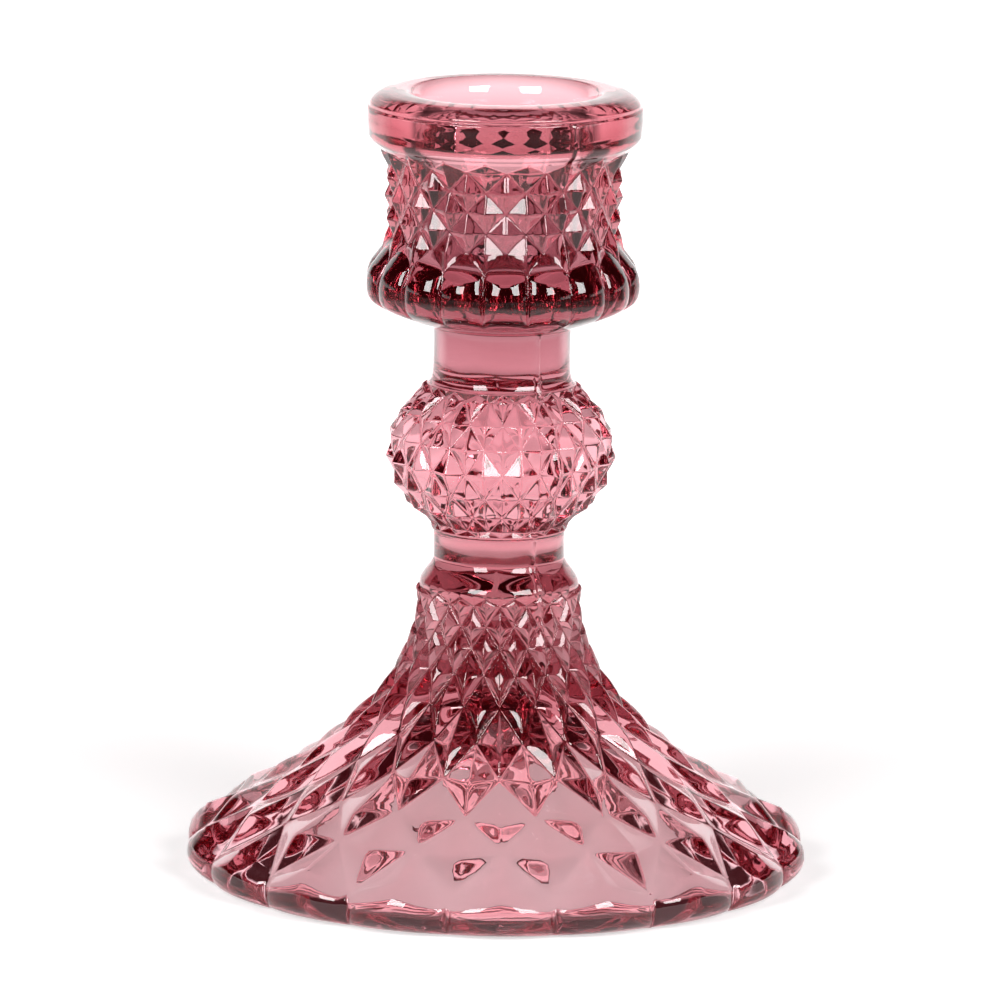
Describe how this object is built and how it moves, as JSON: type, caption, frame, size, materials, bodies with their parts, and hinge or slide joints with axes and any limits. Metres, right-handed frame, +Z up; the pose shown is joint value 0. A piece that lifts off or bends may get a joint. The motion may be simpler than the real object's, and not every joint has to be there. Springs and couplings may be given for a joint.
{
  "type": "glass candlestick",
  "caption": "Short pressed-glass candlestick with a diamond-cut trumpet foot, studded knop, lobed collar and a socket for a tapered dinner candle.",
  "frame": {"origin": "on the axis, at the level of the surface that the foot stands on", "axes": "+Z up along the axis; a column of diamonds faces -Y"},
  "size_m": [0.0816, 0.0824, 0.104],
  "materials": {
    "rose_glass": "clear rose pressed glass, fire-polished, with a fine mould seam"
  },
  "bodies": {
    "root": {"foot_edge": "rose_glass", "foot_flare": "rose_glass", "foot_trumpet": "rose_glass", "lower_neck": "rose_glass", "knop": "rose_glass", "upper_neck": "rose_glass", "cup_collar": "rose_glass", "candle_cup": "rose_glass", "rim_bead": "rose_glass"}
  },
  "joints": []
}
